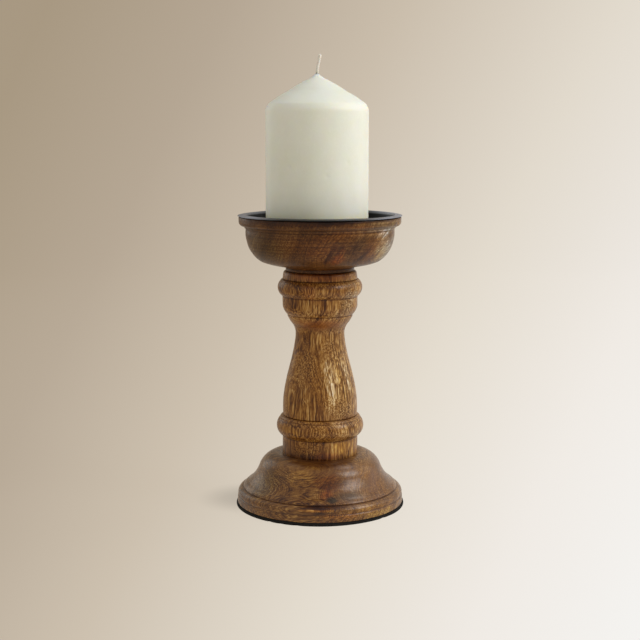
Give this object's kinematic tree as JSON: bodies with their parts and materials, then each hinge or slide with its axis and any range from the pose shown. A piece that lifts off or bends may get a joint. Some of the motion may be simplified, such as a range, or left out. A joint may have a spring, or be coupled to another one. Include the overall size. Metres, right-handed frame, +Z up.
{
  "type": "candlestick",
  "caption": "Turned wooden candlestick: domed round base, baluster stem with beads, shallow bowl with a black metal drip pan, and a pillar candle that lifts out.",
  "frame": {"origin": "centre of the underside of the foot pad, on the turning axis", "axes": "+Z up along the turning axis, the way the candle lifts out; -Y towards the viewer, +X to the viewer's right"},
  "size_m": [0.1154, 0.1154, 0.3037],
  "materials": {
    "wood_base": "satin lacquered mango wood, face grain",
    "wood_stem": "satin lacquered mango wood, long grain",
    "wood_bowl": "satin lacquered mango wood, face grain",
    "black_enamel": "semi-gloss black enamel on pressed steel",
    "black_foam": "matt black foam rubber",
    "zinc_steel": "bright zinc plate",
    "tab_steel": "tinned sheet steel",
    "ivory_wax": "satin, slightly translucent wax",
    "waxed_cotton": "braided cotton dipped in wax"
  },
  "bodies": {
    "holder": {"base_pad": "black_foam", "base": "wood_base", "base_washer": "zinc_steel", "base_screw": "zinc_steel", "stem": "wood_stem", "bowl": "wood_bowl", "drip_pan": "black_enamel", "pan_screw": "zinc_steel"},
    "candle": {"candle": "ivory_wax", "wick_tab": "tab_steel", "wick": "waxed_cotton"}
  },
  "joints": [
    {"name": "candle_lift", "type": "slide", "parent": "holder", "child": "candle", "axis": [0, 0, 1], "range_m": [0, 0.03]}
  ]
}
